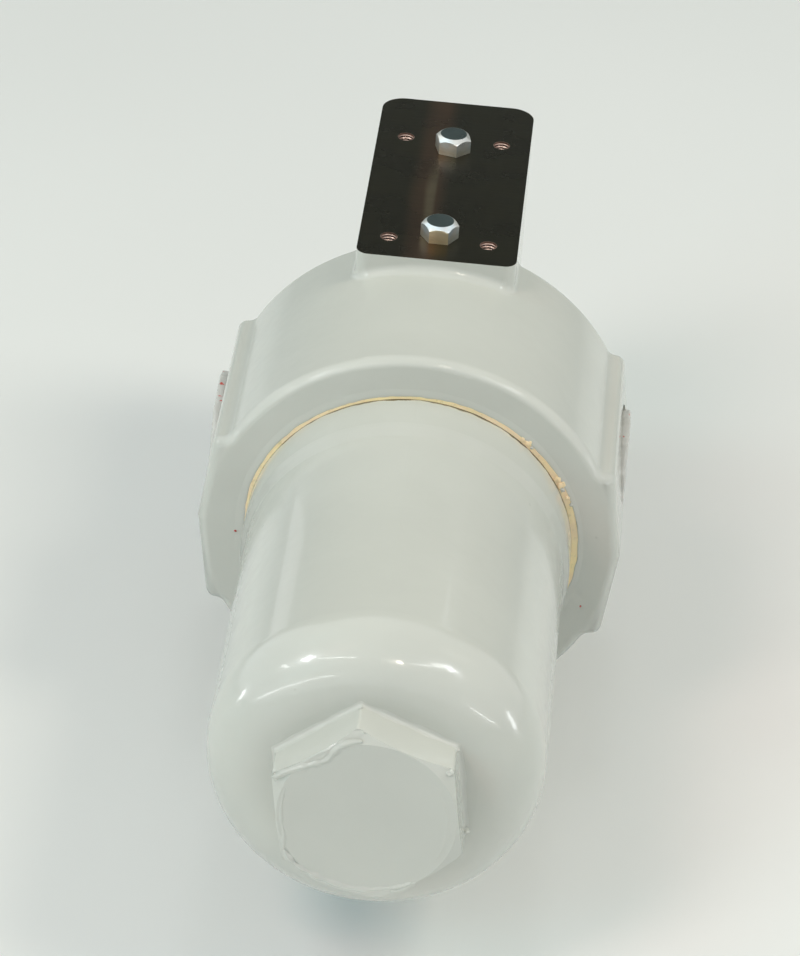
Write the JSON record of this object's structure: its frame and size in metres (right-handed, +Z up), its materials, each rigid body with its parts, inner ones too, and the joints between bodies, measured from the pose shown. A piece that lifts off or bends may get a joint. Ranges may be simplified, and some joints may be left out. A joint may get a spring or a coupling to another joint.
{
  "type": "high pressure filter",
  "caption": "Inline high pressure hydraulic filter: cast head with side ports and a bypass valve, and a screw-in bowl over a pleated element.",
  "frame": {"origin": "centre of the machined mounting face under the head", "axes": "+Z up from the mounting face to the instrument pad, +Y along the bowl's axis from the bowl to the rear block, +X to the outlet port"},
  "size_m": [0.1046, 0.2535, 0.115],
  "materials": {
    "cast_head": "grey paint over a rough casting, with a bare machined pad",
    "painted_bowl": "grey gloss paint",
    "seal_rubber": "black nitrile rubber",
    "backup_plastic": "cream backup ring with ragged paint along its edges",
    "turned_steel": "turned steel",
    "plated_steel": "zinc plated sheet steel",
    "filter_medium": "pleated glass fibre between wire mesh",
    "dark_plated_steel": "dark plated steel",
    "port_plastic": "red plastic, painted over with the head"
  },
  "bodies": {
    "housing": {"head": "cast_head", "outlet_spigot": "turned_steel", "element_top_cap": "plated_steel", "element_bottom_cap": "plated_steel", "element_core": "plated_steel", "element_pleats": "filter_medium", "element_band_upper": "plated_steel", "element_band_lower": "plated_steel", "element_o_ring": "seal_rubber", "bypass_seat": "turned_steel", "bypass_spring": "turned_steel", "bypass_plug": "painted_bowl", "bypass_plug_washer": "turned_steel", "inlet_gauge_plug": "dark_plated_steel", "outlet_gauge_plug": "dark_plated_steel", "inlet_port_plug": "port_plastic", "outlet_port_plug": "port_plastic"},
    "bowl_seals": {"bowl_o_ring": "seal_rubber", "bowl_backup_ring": "backup_plastic"},
    "bowl": {"bowl": "painted_bowl"},
    "poppet": {"bypass_poppet": "turned_steel"}
  },
  "joints": [
    {"name": "bowl_draw", "type": "slide", "parent": "housing", "child": "bowl_seals", "axis": [0, -1, 0], "range_m": [0, 0.125]},
    {"name": "bowl_turn", "type": "hinge", "parent": "bowl_seals", "child": "bowl", "pos_m": [0, -0.0248, 0.055], "axis": [0, -1, 0], "range_deg": [0, 1800]},
    {"name": "bypass_open", "type": "slide", "parent": "housing", "child": "poppet", "axis": [0, 1, 0], "range_m": [0, 0.005], "stiffness_N_per_m": 5700, "springref_m": -0.008, "deforming": ["bypass_spring"]}
  ]
}
